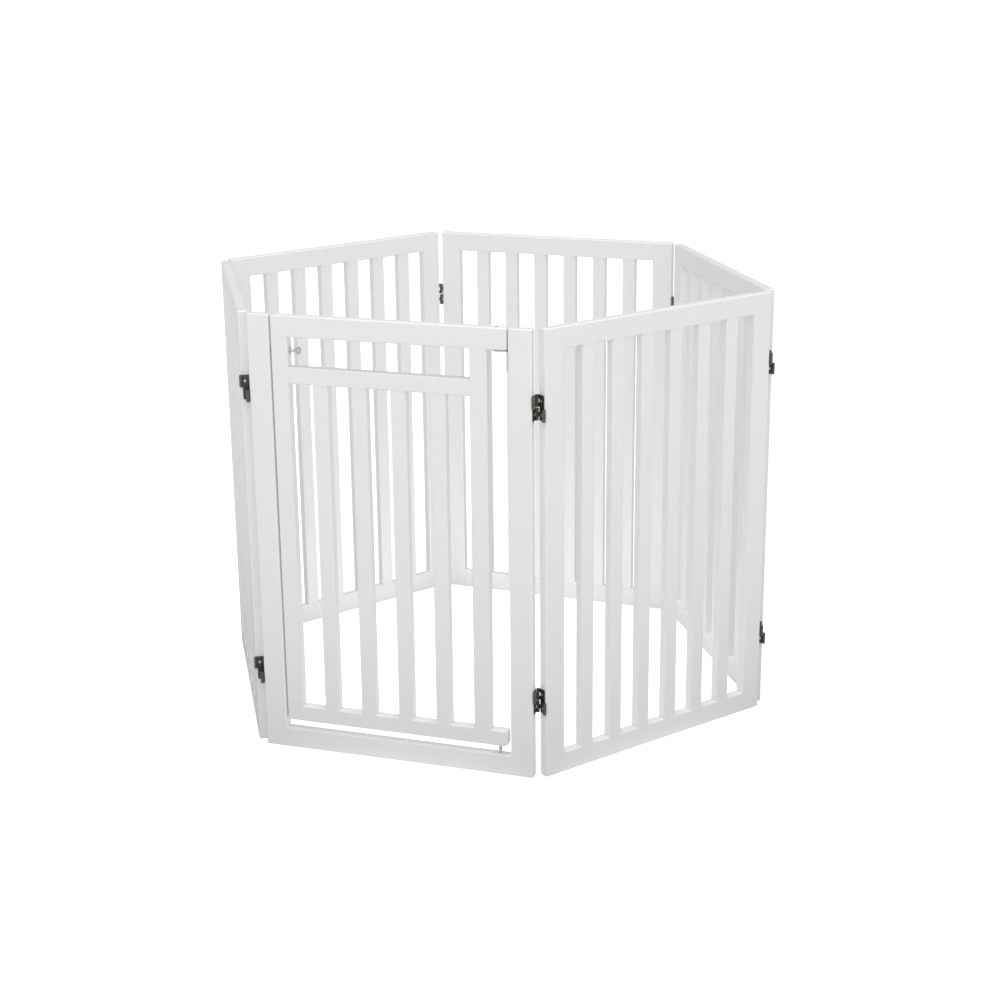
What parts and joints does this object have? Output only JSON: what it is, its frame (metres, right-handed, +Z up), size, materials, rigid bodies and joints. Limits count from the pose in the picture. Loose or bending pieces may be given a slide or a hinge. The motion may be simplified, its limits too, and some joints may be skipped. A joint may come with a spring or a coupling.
{
  "type": "pet gate",
  "caption": "Folding wooden pet pen: hinged slatted panels standing in a closed ring, one with a pivoting walk-through door and slide bolt.",
  "frame": {"origin": "middle of the footprint, on the floor", "axes": "+Z up, the panel with the door faces -Y, +X to the right seen from the front"},
  "size_m": [1.1024, 0.9208, 0.8012],
  "materials": {
    "white_paint": "satin white paint over wood",
    "bronze_metal": "dark bronze coated steel",
    "zinc_metal": "plain zinc-plated steel"
  },
  "bodies": {
    "front_frame": {"door_frame_bottom_rail": "white_paint", "door_frame_stile_left": "white_paint", "door_frame_stile_right": "white_paint", "hinge_12_lower_a": "bronze_metal", "hinge_12_upper_a": "bronze_metal", "hinge_61_lower_b": "bronze_metal", "hinge_61_upper_b": "bronze_metal", "pivot_bracket": "zinc_metal", "pivot_pin_bottom": "zinc_metal", "pivot_pin_top": "zinc_metal"},
    "door": {"door_bottom_rail": "white_paint", "door_mid_rail": "white_paint", "door_slat_1": "white_paint", "door_slat_2": "white_paint", "door_slat_3": "white_paint", "door_slat_4": "white_paint", "door_stile_latch": "white_paint", "door_stile_pivot": "white_paint", "door_top_rail": "white_paint", "latch_collar": "zinc_metal"},
    "latch_bolt": {"latch_bolt": "zinc_metal"},
    "panel_2": {"hinge_12_lower_b": "bronze_metal", "hinge_12_upper_b": "bronze_metal", "hinge_23_lower_a": "bronze_metal", "hinge_23_upper_a": "bronze_metal", "panel_2_rails_and_slats": "white_paint", "panel_2_stile_left": "white_paint", "panel_2_stile_right": "white_paint"},
    "panel_3": {"hinge_23_lower_b": "bronze_metal", "hinge_23_upper_b": "bronze_metal", "hinge_34_lower_a": "bronze_metal", "hinge_34_upper_a": "bronze_metal", "panel_3_rails_and_slats": "white_paint", "panel_3_stile_left": "white_paint", "panel_3_stile_right": "white_paint"},
    "panel_4": {"hinge_34_lower_b": "bronze_metal", "hinge_34_upper_b": "bronze_metal", "hinge_45_lower_a": "bronze_metal", "hinge_45_upper_a": "bronze_metal", "panel_4_rails_and_slats": "white_paint", "panel_4_stile_left": "white_paint", "panel_4_stile_right": "white_paint"},
    "panel_5": {"hinge_45_lower_b": "bronze_metal", "hinge_45_upper_b": "bronze_metal", "hinge_56_lower_a": "bronze_metal", "hinge_56_upper_a": "bronze_metal", "panel_5_rails_and_slats": "white_paint", "panel_5_stile_left": "white_paint", "panel_5_stile_right": "white_paint"},
    "panel_6": {"hinge_56_lower_b": "bronze_metal", "hinge_56_upper_b": "bronze_metal", "hinge_61_lower_a": "bronze_metal", "hinge_61_upper_a": "bronze_metal", "panel_6_rails_and_slats": "white_paint", "panel_6_stile_left": "white_paint", "panel_6_stile_right": "white_paint"},
    "closing_pin_upper": {"closing_pin_upper": "bronze_metal"},
    "closing_pin_lower": {"closing_pin_lower": "bronze_metal"}
  },
  "joints": [
    {"name": "fold_12", "type": "hinge", "parent": "front_frame", "child": "panel_2", "pos_m": [0.22965, -0.4389, 0], "axis": [0, 0, 1], "range_deg": [-54, 0]},
    {"name": "fold_23", "type": "hinge", "parent": "panel_2", "child": "panel_3", "pos_m": [0.53236, -0.02226, 0], "axis": [0, 0, 1], "range_deg": [-67.2, 0]},
    {"name": "fold_34", "type": "hinge", "parent": "panel_3", "child": "panel_4", "pos_m": [0.26558, 0.41825, 0], "axis": [0, 0, 1], "range_deg": [-56.5, 0]},
    {"name": "fold_45", "type": "hinge", "parent": "panel_4", "child": "panel_5", "pos_m": [-0.24901, 0.43892, 0], "axis": [0, 0, 1], "range_deg": [-58.5, 0]},
    {"name": "fold_61", "type": "hinge", "parent": "front_frame", "child": "panel_6", "pos_m": [-0.28535, -0.4389, 0], "axis": [0, 0, 1], "range_deg": [0, 60.9]},
    {"name": "door_swing", "type": "hinge", "parent": "front_frame", "child": "door", "pos_m": [0.16365, -0.44815, 0], "axis": [0, 0, 1], "range_deg": [-110, 110]},
    {"name": "latch_slide", "type": "slide", "parent": "door", "child": "latch_bolt", "axis": [-1, 0, 0], "range_m": [0, 0.0055]},
    {"name": "closing_pin_upper_lift", "type": "slide", "parent": "panel_6", "child": "closing_pin_upper", "axis": [0, 0, 1], "range_m": [0, 0.055]},
    {"name": "closing_pin_lower_lift", "type": "slide", "parent": "panel_6", "child": "closing_pin_lower", "axis": [0, 0, 1], "range_m": [0, 0.055]}
  ]
}
